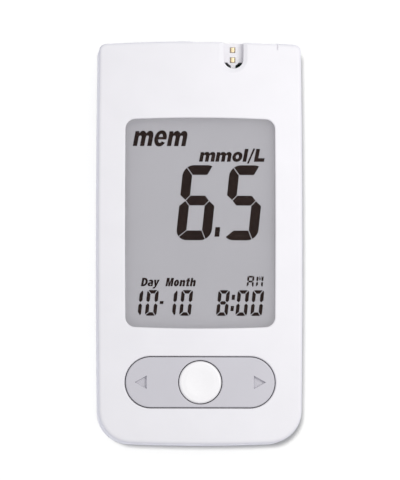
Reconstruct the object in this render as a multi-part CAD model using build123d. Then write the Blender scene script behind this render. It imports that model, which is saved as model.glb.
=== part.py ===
from build123d import *
import math
import os

# Blood glucose meter, in millimetres. It lies on its back: +Z runs through the thickness towards the
# display, +Y towards the end with the strip port, +X to the right of someone who reads the display.
# The origin is the middle of the resting face.

# Housing
body_length = 96.4
body_width = 49.0
body_thickness = 18.0
side_bow = 0.35
end_bow = 0.75
top_corner_radius = 1.7
bottom_corner_radius = 7.8
least_inner_corner = 0.6
parting_height = 9.2
side_wall = 1.8
front_wall = 1.8
rear_wall = 1.8
front_edge_radius = 0.8
rear_edge_radius = 2.5
crown_drop = 0.4
lip_height = 1.0
lip_thickness = 0.8
parting_groove_depth = 0.15
parting_groove_height = 0.25
fit_clearance = 0.1

# Window and display stack
window_width = 35.9
window_length = 50.4
window_side_bow = 0.1
window_end_bow = 0.45
window_corner_radius = 2.4
window_to_end = 18.35
window_rim = 0.8
window_edge_round = 0.3
lens_margin = 1.2
lens_thickness = 1.0
gasket_thickness = 0.5
gasket_overhang = 0.2
polariser_thickness = 0.2
glass_thickness = 0.7
glass_margin = 0.9
contact_ledge = 1.9
zebra_height = 4.2
zebra_width = 1.2
holder_wall = 0.8
holder_ledge = 1.2
holder_ledge_depth = 1.0

# Main board
board_thickness = 1.0
board_clearance = 0.5

# Keys
key_setback = 14.8
key_opening_width = 36.0
key_opening_height = 12.4
key_opening_round = 0.35
key_gap = 0.22
key_proud = 0.25
key_edge_round = 0.3
key_hole_round = 0.2
key_flange_reach = 0.8
key_flange_thickness = 1.2
rocking_angle = 1.5
pivot_radius = 0.6
pivot_length = 1.3
pivot_clearance = 0.06
plunger_spread = 12.0
plunger_radius = 1.0
arrow_spread = 14.25
arrow_width = 2.95
arrow_height = 3.25
arrow_depth = 0.8
arrow_wall_angle = 15
button_radius = 5.08
button_gap = 0.2
button_sink = 0.1
button_edge_round = 0.6
button_dish_depth = 0.16
button_dish_radius = 3.4
button_travel = 0.3
button_flange_reach = 1.0
button_flange_thickness = 0.8
stem_radius = 1.5
stem_clearance = 0.08
dome_radius = 2.5
dome_height = 0.35
dome_sheet = 0.12
dome_gap = 0.05
frame_wall = 1.2
frame_plate = 0.8
frame_leg = 1.6

# Strip port
port_x = 8.0
port_setback = 4.1
port_radius = 2.4
port_flare = 1.1
port_flare_depth = 0.45
port_floor_depth = 2.6
strip_channel_width = 5.2
guide_wall = 0.9
guide_floor = 2.2
guide_length = 8.9
slot_width = 0.85
slot_rib = 1.1
slot_end = 0.75
port_contact_size = 1.1
port_contact_offset = -0.13
port_contact_pitch = 2.4
port_contact_inset = 1.87
port_contact_rise = 0.3
port_contact_depth = 1.2
port_floor_skin = 0.8
relief_depth = 0.2
relief_left = -2.0
relief_right = 18.2
seam_notch_width = 0.45
seam_notch_length = 1.2
seam_notch_depth = 0.4
connector_width = 8.6
connector_length = 4.2
connector_floor_drop = 0.4
connector_pins = 5
connector_pin_pitch = 1.0
leaf_thickness = 0.2
leaf_width = 0.5
leaf_run = 1.0

# Battery bay and door
door_length = 29.0
door_height = 4.0
door_wall = 1.5
door_gap = 0.25
skirt_wall = 1.6
bay_roof = 1.2
bay_wall = 1.2
contact_room = 0.65
rail_height = 0.8
rail_reach = 0.45
rail_inset = 2.2
rail_level = 2.3
latch_width = 8.0
latch_length = 3.6
latch_thickness = 0.8
latch_nub_radius = 0.4
latch_nub_height = 0.15
grip_count = 5
grip_pitch = 1.6
grip_length = 14.0
grip_width = 0.7
grip_depth = 0.4
cell_radius = 10.0
cell_thickness = 3.2
cell_cap_radius = 8.8
cell_cap_height = 0.35
cell_edge_round = 0.35
cell_spacing = 21.2
cell_setback = 17.5
cell_clearance = 0.35
pocket_wall = 0.9
contact_sheet = 0.25
contact_width = 4.0
contact_tail_width = 1.6
rest_radius = 1.2
rest_inset = 4.0
rest_offset = 3.35

# Screws
boss_radius = 2.3
rear_boss_radius = 2.8
case_screw_inset = 5.4
case_screw_top_setback = 7.0
case_screw_low_x = 14.0
case_screw_low_setback = 4.7
screw_radius = 1.0
screw_hole_radius = 1.2
screw_head_radius = 1.75
screw_head_height = 1.5
screw_seat_height = 4.4
screw_length = 8.5
screw_slot = 0.5
thread_clearance = 0.02
board_boss_radius = 1.7
board_screw_low_inset = 4.2
board_screw_low_gap = 0.75
boss_gap = 0.6
board_screw_radius = 0.7
board_screw_head_radius = 1.3
board_screw_head_height = 0.8
board_screw_length = 4.0

# Parts on the board
chip_thickness = 1.2
chip_standoff = 0.1
processor_size = 9.0
processor_lead_pitch = 0.75
processor_place = (2.0, 7.35)
lead_width = 0.25
lead_reach = 0.8
lead_height = 0.5
small_chip_width = 3.9
small_chip_length = 5.0
small_chip_lead_pitch = 1.0
measuring_chip_offset = 25.35
memory_chip_place = (8.0, 1.35)
crystal_radius = 1.0
crystal_length = 6.0
buzzer_radius = 6.0
buzzer_height = 2.2
buzzer_port_radius = 1.0
buzzer_x = -11.0
buzzer_offset = 17.35
sound_hole_radius = 0.5
sound_hole_pitch = 2.2
capacitor_size = (1.6, 0.8, 0.8)
resistor_size = (1.0, 0.5, 0.35)
end_cap_length = 0.25
capacitor_count = 4
capacitor_pitch = 4.0
capacitor_start = (-12.0, -4.65)
resistor_count = 6
resistor_pitch = 3.0
resistor_start = (-12.0, -10.65)

# Label recess on the back
label_width = 34.0
label_length = 31.0
label_gap = 4.0
label_depth = 0.3
label_corner = 1.5

# Levels and places that follow from the sizes above
front_inside = body_thickness - front_wall
side_x = body_width / 2
end_y = body_length / 2
crown_radius = side_x ** 2 / (2 * crown_drop)
lens_top = body_thickness - window_rim
lens_bottom = lens_top - lens_thickness
gasket_bottom = lens_bottom - gasket_thickness
front_glass_top = gasket_bottom - polariser_thickness
front_glass_bottom = front_glass_top - glass_thickness
rear_glass_bottom = front_glass_bottom - glass_thickness
reflector_bottom = rear_glass_bottom - polariser_thickness
board_top = front_glass_bottom - zebra_height
board_bottom = board_top - board_thickness
window_centre_y = end_y - window_to_end - window_length / 2
key_centre_y = key_setback - end_y
glass_width = window_width + 2 * glass_margin
glass_low = window_centre_y - window_length / 2 - glass_margin
rear_glass_high = window_centre_y + window_length / 2 + glass_margin
front_glass_high = rear_glass_high + contact_ledge
holder_low = glass_low - fit_clearance - holder_wall
rocker_reach = key_opening_width / 2 + key_flange_reach
rocker_flange_top = front_inside - rocker_reach * math.sin(math.radians(rocking_angle)) - key_gap
rocker_bottom = rocker_flange_top - key_flange_thickness
pivot_level = rocker_bottom + key_flange_thickness / 2
pivot_start = key_opening_height / 2 + key_flange_reach
dome_top = board_top + dome_height
key_foot = dome_top + dome_gap
button_flange_top = rocker_bottom - button_travel - dome_gap
button_flange_bottom = button_flange_top - button_flange_thickness
frame_top = button_flange_bottom - button_travel - button_gap / 2
port_y = end_y - port_setback
port_floor = body_thickness - port_floor_depth
guide_bottom = port_floor - guide_floor
guide_end = end_y - relief_depth - fit_clearance
guide_start = guide_end - guide_length
guide_half_width = strip_channel_width / 2 + guide_wall
connector_end = guide_start - fit_clearance
connector_start = connector_end - connector_length
door_y = door_length - end_y
bay_bottom = door_wall + door_gap
cell_top = bay_bottom + cell_thickness
bay_ceiling = cell_top + contact_room
bay_top = bay_ceiling + bay_roof
cell_y = cell_setback - end_y
skirt_inset = door_wall + door_gap
pocket_radius = cell_radius + cell_clearance
buzzer_y = window_centre_y + buzzer_offset
label_centre_y = door_y + label_gap + label_length / 2
processor_leads = round(processor_size / processor_lead_pitch) - 1
small_chip_leads = round(small_chip_length / small_chip_lead_pitch) - 1
case_screw_x = side_x - case_screw_inset
case_screw_top_y = end_y - case_screw_top_setback
case_screw_low_y = case_screw_low_setback - end_y
board_screw_top_y = case_screw_top_y - boss_radius - boss_gap - board_boss_radius
board_screw_low_x = side_x - board_screw_low_inset
board_screw_low_y = holder_low - board_screw_low_gap - board_boss_radius


def mirrored_places(x, y):
    """The given place and its mirror image on the other side of the long middle line."""
    return [(x, y), (-x, y)]


def from_window(place):
    """Place given from the middle of the window."""
    return place[0], window_centre_y + place[1]


case_screw_places = mirrored_places(case_screw_x, case_screw_top_y)
case_screw_places += mirrored_places(case_screw_low_x, case_screw_low_y)
board_screw_places = mirrored_places(case_screw_x, board_screw_top_y)
board_screw_places += mirrored_places(board_screw_low_x, board_screw_low_y)
board_rest_places = mirrored_places(side_x - rest_inset, window_centre_y + rest_offset)


def block(x_low, x_high, y_low, y_high, z_low, z_high):
    """Box between two opposite corners."""
    size = (x_high - x_low, y_high - y_low, z_high - z_low)
    middle = ((x_low + x_high) / 2, (y_low + y_high) / 2, (z_low + z_high) / 2)
    return Pos(*middle) * Box(*size)


def column(x, y, radius, z_low, z_high):
    """Upright cylinder between two levels."""
    return Pos(x, y, (z_low + z_high) / 2) * Cylinder(radius, z_high - z_low)


def prism(shape, z_low, z_high):
    """Plan shape raised between two levels."""
    return extrude(Pos(0, 0, z_low) * shape, z_high - z_low)


def bowed_plan(width, length, side_rise, end_rise, top_radius, bottom_radius):
    """Four gently bowed edges with rounded corners, centred on the origin."""
    x = width / 2 - side_rise
    y = length / 2 - end_rise
    top = ThreePointArc((-x, y), (0, length / 2), (x, y))
    right = ThreePointArc((x, y), (width / 2, 0), (x, -y))
    bottom = ThreePointArc((x, -y), (0, -length / 2), (-x, -y))
    left = ThreePointArc((-x, -y), (-width / 2, 0), (-x, y))
    shape = make_face([top, right, bottom, left])
    shape = fillet(shape.vertices().group_by(Axis.Y)[-1], top_radius)
    return fillet(shape.vertices().group_by(Axis.Y)[0], bottom_radius)


def housing_plan(inset):
    """Outline of the housing, drawn this far inside its outer walls."""
    top_radius = max(top_corner_radius - inset, least_inner_corner)
    bottom_radius = max(bottom_corner_radius - inset, least_inner_corner)
    width = body_width - 2 * inset
    length = body_length - 2 * inset
    return bowed_plan(width, length, side_bow, end_bow, top_radius, bottom_radius)


def window_plan(outset):
    """Outline of the window opening, drawn this far outside its edge."""
    radius = window_corner_radius + outset
    width = window_width + 2 * outset
    length = window_length + 2 * outset
    shape = bowed_plan(width, length, window_side_bow, window_end_bow, radius, radius)
    return Pos(0, window_centre_y) * shape


def key_plan(outset):
    """Stadium outline of the key opening, drawn this far outside its edge."""
    width = key_opening_width + 2 * outset
    height = key_opening_height + 2 * outset
    return Pos(0, key_centre_y) * SlotOverall(width, height)


def crown(rise):
    """Round bar whose top is the crowned front face, lifted by this much."""
    bar = Rot(90, 0, 0) * Cylinder(crown_radius, 2 * body_length)
    return Pos(0, 0, body_thickness + rise - crown_radius) * bar


def top_edges(solid):
    """Outer edges of the highest face."""
    return solid.faces().sort_by(Axis.Z)[-1].outer_wire().edges()


def opening_edges(solid, y):
    """Upper edges of the opening in the highest face whose middle is nearest to this line."""
    wires = solid.faces().sort_by(Axis.Z)[-1].inner_wires()
    return min(wires, key=lambda wire: abs(wire.bounding_box().center().Y - y)).edges()


def front_cover():
    """Upper shell with the window, the key opening, the port notch and the screw bosses."""
    shell = prism(housing_plan(0), parting_height, body_thickness) & crown(0)
    shell = fillet(top_edges(shell), front_edge_radius)
    shell -= prism(housing_plan(side_wall), parting_height, front_inside)
    rebate = housing_plan(side_wall - lip_thickness - fit_clearance)
    shell -= prism(rebate, parting_height, parting_height + lip_height + fit_clearance)
    groove = housing_plan(0) - housing_plan(parting_groove_depth)
    shell -= prism(groove, parting_height, parting_height + parting_groove_height)
    shell -= prism(window_plan(0), front_inside, body_thickness)
    shell = fillet(opening_edges(shell, window_centre_y), window_edge_round)
    shell -= prism(key_plan(0), front_inside, body_thickness)
    shell = fillet(opening_edges(shell, key_centre_y), key_opening_round)
    shell -= prism(window_plan(lens_margin + fit_clearance), front_inside, lens_top)
    for x, y in case_screw_places:
        shell += column(x, y, boss_radius, parting_height, front_inside)
        depth = screw_seat_height + screw_length + fit_clearance
        shell -= column(x, y, screw_radius + thread_clearance, parting_height, depth)
    for x, y in board_screw_places:
        shell += column(x, y, board_boss_radius, board_top, front_inside)
        depth = board_bottom + board_screw_length + fit_clearance
        shell -= column(x, y, board_screw_radius + thread_clearance, board_top, depth)
    for side in (-1, 1):
        shell += pivot_cap(side)
    return cut_port(shell)


def pivot_cap(side):
    """Rib that keeps one of the rocker's pivots down in its cradle."""
    y_near = key_centre_y + side * (pivot_start + fit_clearance)
    y_far = key_centre_y + side * (pivot_start + pivot_length)
    bottom = pivot_level + pivot_radius + pivot_clearance
    low, high = sorted((y_near, y_far))
    return block(-pivot_radius, pivot_radius, low, high, bottom, front_inside)


def port_plan(radius):
    """U shape of the port notch, open at the end of the housing."""
    straight = Pos(port_x, port_y + port_setback) * Rectangle(2 * radius, 2 * port_setback)
    return Pos(port_x, port_y) * Circle(radius) + straight


def cut_port(shell):
    """Cut the strip port, its shallow relief and the small notch at the relief's end."""
    flare_angle = math.degrees(math.atan(port_flare / port_flare_depth))
    flare_level = body_thickness - port_flare_depth
    shell -= prism(port_plan(port_radius), front_inside, flare_level)
    shell -= extrude(Pos(0, 0, flare_level) * port_plan(port_radius), port_flare_depth, taper=-flare_angle)
    half = guide_half_width + fit_clearance
    inner_end = end_y - side_wall - end_bow
    low = guide_bottom - fit_clearance
    shell -= block(port_x - half, port_x + half, inner_end, end_y, low, front_inside)
    relief = block(relief_left, relief_right, port_y, end_y, parting_height, body_thickness)
    shell -= relief - prism(housing_plan(relief_depth), parting_height, body_thickness)
    notch_y = end_y - end_bow
    notch_low = body_thickness - crown_drop * (relief_right / side_x) ** 2 - seam_notch_depth
    x = relief_right + seam_notch_width / 2
    seam = block(x - seam_notch_width / 2, x + seam_notch_width / 2,
                 notch_y - seam_notch_length, notch_y, notch_low, body_thickness)
    return shell - seam


def rear_cover():
    """Lower shell with the battery bay, the screw bosses and the sound holes."""
    shell = prism(housing_plan(0), 0, parting_height)
    bottom = shell.faces().sort_by(Axis.Z)[0]
    shell = fillet(bottom.edges(), rear_edge_radius)
    shell -= prism(housing_plan(side_wall), rear_wall, parting_height)
    tongue = housing_plan(side_wall - lip_thickness) - housing_plan(side_wall)
    shell += prism(tongue, parting_height - lip_height, parting_height + lip_height)
    shell -= door_zone(door_height + door_gap, door_y)
    shell += battery_bay()
    for x, y in case_screw_places:
        foot = bay_bottom if y < door_y else 0
        shell += column(x, y, rear_boss_radius, max(foot, rear_wall / 2), parting_height)
    for x, y in case_screw_places:
        shell -= column(x, y, screw_head_radius + fit_clearance, 0, screw_seat_height)
        shell -= column(x, y, screw_hole_radius, screw_seat_height, parting_height)
    shell += column(0, key_centre_y, rest_radius, bay_ceiling, board_bottom - fit_clearance)
    for x, y in board_rest_places:
        shell += column(x, y, rest_radius, rear_wall / 2, board_bottom - fit_clearance)
    shell -= sound_holes()
    shell -= latch(door_gap)
    label = Pos(0, label_centre_y) * RectangleRounded(label_width, label_length, label_corner)
    return shell - prism(label, 0, label_depth)


def door_zone(top, y_high):
    """Everything below this level on the battery side of this line."""
    half = body_width
    return block(-half, half, -body_length, y_high, -body_thickness, top)


def battery_bay():
    """Roof, skirt, cross wall and round cell pockets of the battery bay, with slots for the contacts."""
    ring = housing_plan(skirt_inset) - housing_plan(skirt_inset + skirt_wall)
    bay = prism(ring, bay_bottom, bay_ceiling)
    shelf = housing_plan(side_wall / 2) - housing_plan(skirt_inset + skirt_wall)
    bay += prism(shelf, door_height + door_gap, bay_ceiling)
    bay += prism(housing_plan(side_wall / 2), bay_ceiling, bay_top)
    bay &= door_zone(bay_top, door_y)
    half = side_x - side_wall
    bay += block(-half, half, door_y - fit_clearance, door_y + bay_wall, rear_wall, bay_top)
    for x in (-cell_spacing / 2, cell_spacing / 2):
        bay += column(x, cell_y, pocket_radius + pocket_wall, bay_bottom, bay_ceiling)
    for x in (-cell_spacing / 2, cell_spacing / 2):
        bay -= column(x, cell_y, pocket_radius, bay_bottom, bay_ceiling)
        bay -= contact_slots(x)
    for side in (-1, 1):
        bay -= rail(side, door_gap)
    return bay


def contact_slots(x):
    """Openings in the bay for the side tab and the tail of the spring leaf of one cell."""
    half = contact_width / 2 + fit_clearance
    y = cell_y + cell_radius
    tab = block(x - half, x + half, y, y + contact_sheet + 2 * fit_clearance, bay_bottom, bay_top)
    half = contact_tail_width / 2 + fit_clearance
    y = cell_y - contact_width
    tail = block(x - half, x + half, y - fit_clearance, y + contact_sheet + fit_clearance,
                 bay_ceiling, bay_top)
    return tab + tail


def rail(side, gap):
    """Straight rib inside one side wall of the door, or with a gap the groove that it runs in."""
    near = side * (side_x - rail_inset - rail_reach - gap)
    far = side * (side_x - door_wall / 2)
    low, high = sorted((near, far))
    y_high = door_y - door_gap + gap
    y_low = -end_y if gap else bottom_corner_radius - end_y
    return block(low, high, y_low, y_high, rail_level - gap, rail_level + rail_height + gap)


def latch(gap):
    """Tongue at the door's front edge with a nub across it, or with a gap the recess that takes it."""
    half = latch_width / 2 + gap
    low = door_wall - latch_thickness
    tongue = block(-half, half, door_y - door_wall, door_y + latch_length + gap, low - gap, door_wall)
    nub = Rot(0, 90, 0) * Cylinder(latch_nub_radius, latch_width + 2 * gap)
    level = low - gap - latch_nub_height + latch_nub_radius
    tongue += Pos(0, door_y + latch_length / 2, level) * nub
    if gap:
        tongue += block(-half, half, door_y, door_y + latch_length + gap, door_wall, rear_wall)
    return tongue


def sound_holes():
    """Small holes in the rear wall under the buzzer."""
    step = sound_hole_pitch
    places = [(0, 0), (step, 0), (-step, 0), (0, step), (0, -step)]
    return Part() + [column(buzzer_x + x, buzzer_y + y, sound_hole_radius, 0, rear_wall) for x, y in places]


def battery_door():
    """Shoe-shaped lower end of the back, with rails, latch tongue and finger grip."""
    shell = prism(housing_plan(0), 0, parting_height)
    shell = fillet(shell.faces().sort_by(Axis.Z)[0].edges(), rear_edge_radius)
    shell -= prism(housing_plan(door_wall), door_wall, parting_height)
    shell &= door_zone(door_height, door_y - door_gap)
    for side in (-1, 1):
        shell += rail(side, 0)
    shell += latch(0)
    for index in range(grip_count):
        y = cell_y - (index - (grip_count - 1) / 2) * grip_pitch
        shell -= Pos(0, y) * Box(grip_length, grip_width, 2 * grip_depth)
    return shell


def display_window():
    """Clear lens, held under the edge of the window opening."""
    return prism(window_plan(lens_margin), lens_bottom, lens_top)


def window_gasket():
    """Foam frame between the lens and the display."""
    ring = window_plan(lens_margin) - window_plan(gasket_overhang)
    return prism(ring, gasket_bottom, lens_bottom)


def glass(y_high, z_low, z_high):
    """One sheet of the display, from its lower edge up to this line."""
    half = glass_width / 2
    return block(-half, half, glass_low, y_high, z_low, z_high)


def lcd_holder():
    """Frame on the board that carries the display and the connector strip."""
    half = glass_width / 2 + fit_clearance
    low = glass_low - fit_clearance
    high = front_glass_high + fit_clearance
    rim = block(-half - holder_wall, half + holder_wall, low - holder_wall, high + holder_wall,
                board_top, gasket_bottom)
    rim -= block(-half, half, low, high, reflector_bottom, gasket_bottom)
    inner = half - holder_ledge
    inner_high = rear_glass_high - holder_ledge
    rim -= block(-inner, inner, low + holder_ledge, inner_high, board_top, reflector_bottom)
    below = reflector_bottom - holder_ledge_depth
    rim -= block(-half, half, low, rear_glass_high, board_top, below)
    rim -= zebra_space(fit_clearance)
    return rim


def zebra_space(gap):
    """Room of the connector strip under the ledge of the front glass."""
    half = glass_width / 2 - holder_wall
    y = rear_glass_high + contact_ledge / 2
    return block(-half - gap, half + gap, y - zebra_width / 2 - gap, y + zebra_width / 2 + gap,
                 board_top, front_glass_bottom)


def main_board():
    """Circuit board, notched round the case screws."""
    inset = side_wall + board_clearance
    board = prism(housing_plan(inset), board_bottom, board_top)
    reach = boss_radius + board_clearance
    for x, y in case_screw_places:
        x_near = abs(x) - reach
        y_near = abs(y) - reach
        x_range = sorted((math.copysign(x_near, x), math.copysign(body_width, x)))
        y_range = sorted((math.copysign(y_near, y), math.copysign(body_length, y)))
        board -= block(*x_range, *y_range, board_bottom, board_top)
    for x, y in board_screw_places:
        board -= column(x, y, board_screw_radius + fit_clearance, board_bottom, board_top)
    return board


def arrow_rocker():
    """Stadium-shaped rocker with a hole for the button, pivots, and a plunger over each outer dome."""
    top = prism(key_plan(-key_gap), rocker_bottom, body_thickness + key_proud) & crown(key_proud)
    top -= column(0, key_centre_y, button_radius + button_gap, rocker_bottom, body_thickness + key_proud)
    top = fillet(top_edges(top), key_edge_round)
    hole_edges = top.faces().sort_by(Axis.Z)[-1].inner_wires()[0].edges()
    top = fillet(hole_edges, key_hole_round)
    flange = prism(key_plan(key_flange_reach), rocker_bottom, rocker_flange_top)
    top += flange - column(0, key_centre_y, button_radius + button_gap, rocker_bottom, rocker_flange_top)
    for side in (-1, 1):
        pin = Rot(90, 0, 0) * Cylinder(pivot_radius, pivot_length + key_flange_reach)
        y = key_centre_y + side * (pivot_start + (pivot_length - key_flange_reach) / 2)
        top += Pos(0, y, pivot_level) * pin
        top += column(side * plunger_spread, key_centre_y, plunger_radius, key_foot, rocker_bottom)
        top -= arrow(side)
    return top


def arrow(side):
    """Triangular recess with sloping walls at one end of the rocker, pointing outwards."""
    tip = side * (arrow_spread + arrow_width / 2)
    back = side * (arrow_spread - arrow_width / 2)
    corners = [(tip, 0), (back, arrow_height / 2), (back, -arrow_height / 2)]
    shape = Pos(0, key_centre_y) * make_face(Polyline(*corners, close=True))
    surface = body_thickness + key_proud - crown_drop * (2 * arrow_spread / body_width) ** 2
    sunk = extrude(Pos(0, 0, surface) * shape, -arrow_depth, taper=arrow_wall_angle)
    return sunk + prism(shape, surface, body_thickness + key_proud)


def main_button():
    """Round dished button with a flange under the rocker and a stem over the middle dome."""
    top = body_thickness + key_proud - button_sink
    cap = column(0, key_centre_y, button_radius, button_flange_top, top)
    cap = fillet(top_edges(cap), button_edge_round)
    dish_radius = (button_dish_radius ** 2 + button_dish_depth ** 2) / (2 * button_dish_depth)
    cap -= Pos(0, key_centre_y, top - button_dish_depth + dish_radius) * Sphere(dish_radius)
    reach = button_radius + button_flange_reach
    cap += column(0, key_centre_y, reach, button_flange_bottom, button_flange_top)
    return cap + column(0, key_centre_y, stem_radius, key_foot, button_flange_bottom)


def key_frame():
    """Bracket on the board: cradles for the rocker's pivots and a collar round the button's stem."""
    reach = pivot_start + fit_clearance * 2 + frame_wall
    half = stem_radius + frame_wall + frame_leg
    frame = block(-half, half, key_centre_y - reach, key_centre_y + reach, frame_top - frame_plate, frame_top)
    frame -= column(0, key_centre_y, stem_radius + stem_clearance, frame_top - frame_plate, frame_top)
    for side in (-1, 1):
        near = key_centre_y + side * (reach - frame_wall)
        far = key_centre_y + side * reach
        low, high = sorted((near, far))
        cradle = block(-pivot_radius - frame_wall, pivot_radius + frame_wall, low, high,
                       frame_top - frame_plate, pivot_level)
        groove = Rot(90, 0, 0) * Cylinder(pivot_radius + pivot_clearance, 2 * frame_wall)
        frame += cradle - Pos(0, (low + high) / 2, pivot_level) * groove
        for x in (-half, half - frame_leg):
            frame += block(x, x + frame_leg, low, high, board_top, frame_top)
    return frame


def snap_dome(x):
    """Thin metal dome on the board under a key."""
    outer = (dome_radius ** 2 + dome_height ** 2) / (2 * dome_height)
    centre = dome_top - outer
    cap = Pos(x, key_centre_y, centre) * (Sphere(outer) - Sphere(outer - dome_sheet))
    reach = dome_radius + dome_sheet
    return cap & block(x - reach, x + reach, key_centre_y - reach, key_centre_y + reach, board_top, dome_top)


def strip_guide():
    """White channel under the port notch: floor, side walls, curved slots and contact holes."""
    body = block(port_x - guide_half_width, port_x + guide_half_width, guide_start, guide_end,
                 guide_bottom, front_inside)
    half = strip_channel_width / 2
    body -= block(port_x - half, port_x + half, guide_start, guide_end, port_floor, front_inside)
    leg_end = end_y - side_wall - board_clearance - end_bow
    leg = block(port_x - half, port_x + half, guide_start, leg_end, board_top, guide_bottom)
    body += leg
    ring = Circle(port_radius) - Circle(port_radius - slot_width)
    lower = Pos(0, -slot_end - port_radius / 2) * Rectangle(2 * port_radius, port_radius)
    rib = Rectangle(slot_rib, 4 * port_radius)
    slots = Pos(port_x, port_y) * ((ring & lower) - rib)
    body -= prism(slots, board_top, port_floor)
    half = port_contact_size / 2 + fit_clearance
    for x, y in port_contact_places():
        body -= block(x - half, x + half, y - half, y + half, board_top, port_floor)
    x, low = port_contact_places()[1]
    arm_top = port_floor - port_floor_skin
    return body - block(x - half, x + half, low, guide_end - guide_wall, board_top, arm_top)


def port_contact_places():
    """Places of the two contacts along the strip's path."""
    first = end_y - port_contact_inset
    return [(port_x + port_contact_offset, first - index * port_contact_pitch) for index in range(2)]


def port_contact(x, y):
    """Gold contact whose head bulges out of the port's floor, with an arm and a leg down to the board."""
    half = port_contact_size / 2
    low = port_floor - port_contact_depth
    head = block(x - half, x + half, y - half, y + half, low, port_floor + port_contact_rise)
    head = fillet(head.edges().filter_by(Axis.Y).group_by(Axis.Z)[-1], port_contact_rise)
    leg_y = min(y, port_contact_places()[1][1] + port_contact_size)
    arm = block(x - half, x + half, leg_y - leaf_thickness, y, low, low + leaf_thickness)
    leg = block(x - half, x + half, leg_y - leaf_thickness, leg_y, board_top, low + leaf_thickness)
    return head + arm + leg


def strip_connector():
    """Connector body behind the guide, with a slot for the strip's end."""
    half = connector_width / 2
    body = block(port_x - half, port_x + half, connector_start, connector_end, board_top, front_inside)
    half = strip_channel_width / 2
    floor = port_floor - connector_floor_drop
    return body - block(port_x - half, port_x + half, connector_start, connector_end, floor, front_inside)


def connector_leaf(index):
    """Gold spring leaf in the connector, from its hump to its foot on the board."""
    x = port_x + (index - (connector_pins - 1) / 2) * connector_pin_pitch
    floor = port_floor - connector_floor_drop + leaf_thickness / 2
    tail = connector_start - leaf_thickness / 2
    path = Polyline(
        (connector_end - leaf_width, floor),
        (connector_end - leaf_width - leaf_run, floor + connector_floor_drop),
        (connector_end - leaf_width - 2 * leaf_run, floor),
        (tail, floor),
        (tail, board_top),
    )
    shape = trace(path, leaf_thickness)
    return Pos(x - leaf_width / 2, 0, 0) * extrude(Plane.YZ * shape, leaf_width)


def coin_cell(x):
    """Coin cell with its can towards the door and its smaller cap towards the board."""
    can_top = cell_top - cell_cap_height
    can = column(x, cell_y, cell_radius, bay_bottom, can_top)
    can = fillet(can.edges().filter_by(GeomType.CIRCLE), cell_edge_round)
    return can + column(x, cell_y, cell_cap_radius, can_top, cell_top)


def negative_contact(x):
    """Spring leaf on the bay's roof that presses on the cell's cap, with a tail up to the board."""
    y = cell_y - contact_width
    level = bay_ceiling - contact_sheet / 2
    low = cell_top + contact_sheet / 2
    path = Polyline(
        (y + contact_sheet / 2, board_bottom),
        (y + contact_sheet / 2, level),
        (y + contact_width, level),
        (y + 2 * contact_width, low),
    )
    leaf = extrude(Plane.YZ * trace(path, contact_sheet), contact_tail_width)
    return Pos(x - contact_tail_width / 2, 0, 0) * leaf


def positive_contact(x):
    """Side tab that touches the rim of the cell's can and runs up to the board."""
    half = contact_width / 2
    y = cell_y + cell_radius + thread_clearance
    return block(x - half, x + half, y, y + contact_sheet, bay_bottom + fit_clearance, board_bottom)


def screws(places, radius, length, head_radius, head_height, seat):
    """Identical screws, driven in from behind, at the given places."""
    shafts = Part()
    for x, y in places:
        screw = column(x, y, head_radius, seat - head_height, seat)
        screw = fillet(screw.edges().group_by(Axis.Z)[0], head_height / 4)
        cut = Box(screw_slot, head_radius, head_height)
        screw -= Pos(x, y, seat - head_height) * (cut + Rot(0, 0, 90) * cut)
        shafts += screw + column(x, y, radius, seat, seat + length)
    return shafts


def leaded_chip(place, width, length, leads, side):
    """Moulded chip with leads on both long sides; side +1 is on the board's top, -1 below it."""
    surface = board_top if side > 0 else board_bottom
    low = chip_standoff
    high = chip_standoff + chip_thickness
    body = block(-width / 2, width / 2, -length / 2, length / 2, low, high)
    pitch = length / (leads + 1)
    for index in range(leads):
        along = (index - (leads - 1) / 2) * pitch
        half = width / 2 + lead_reach
        body += block(-half, half, along - lead_width / 2, along + lead_width / 2, 0, lead_height)
        body -= block(-width / 4, width / 4, along - lead_width, along + lead_width, 0, low)
    if side < 0:
        body = mirror(body, Plane.XY)
    return Pos(*from_window(place), surface) * body


def clock_crystal():
    """Cylindrical crystal can lying under the board."""
    can = Rot(90, 0, 0) * Cylinder(crystal_radius, crystal_length)
    can = fillet(can.edges().filter_by(GeomType.CIRCLE), crystal_radius / 4)
    return Pos(buzzer_x + 2 * buzzer_radius, buzzer_y, board_bottom - crystal_radius) * can


def piezo_buzzer():
    """Round sounder under the board, with its outlet towards the sound holes."""
    low = board_bottom - buzzer_height
    body = column(buzzer_x, buzzer_y, buzzer_radius, low, board_bottom)
    body = fillet(body.edges().group_by(Axis.Z)[0], buzzer_height / 6)
    return body - column(buzzer_x, buzzer_y, buzzer_port_radius, low, board_bottom - buzzer_height / 2)


def small_parts(start, count, pitch, size):
    """Row of small two-ended parts under the board, with raised end caps."""
    length, width, height = size
    first, y = from_window(start)
    group = Part()
    for index in range(count):
        x = first + index * pitch
        middle = Pos(x, y, board_bottom - height / 2) * Box(length, width, height)
        waist = Pos(x, y, board_bottom - height) * Box(length - 2 * end_cap_length, width, height / 8)
        group += middle - waist
    return group


def save(shape, node):
    """Write one piece under its own name."""
    export_step(shape, f"parts/{node}.step")


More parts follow.
